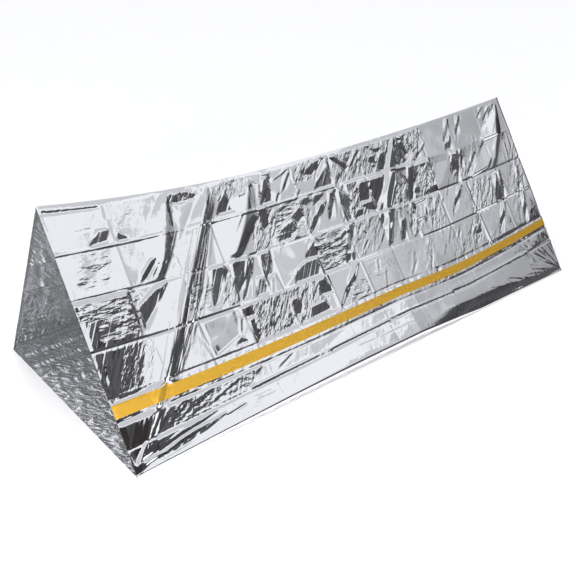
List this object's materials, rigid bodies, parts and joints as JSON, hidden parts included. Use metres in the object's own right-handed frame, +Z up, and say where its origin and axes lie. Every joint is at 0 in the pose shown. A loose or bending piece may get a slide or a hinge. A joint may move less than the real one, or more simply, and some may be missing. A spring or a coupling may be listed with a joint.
{
  "type": "emergency tent",
  "caption": "Low three-sided tunnel shelter of crinkled silvery film, open at both ends, with its long seam closed by a yellow tape low on one wall.",
  "frame": {"origin": "centre of the floor, on the ground", "axes": "+X along the tunnel, +Y towards the wall without tape, +Z up"},
  "size_m": [2.4, 1.014, 0.772],
  "materials": {
    "film": "mirror-bright aluminium coating on thin polyester film, crinkled and creased from being packed",
    "seam_tape": "satin yellow adhesive tape"
  },
  "bodies": {
    "root": {"film": "film", "seam_tape": "seam_tape"}
  },
  "joints": []
}
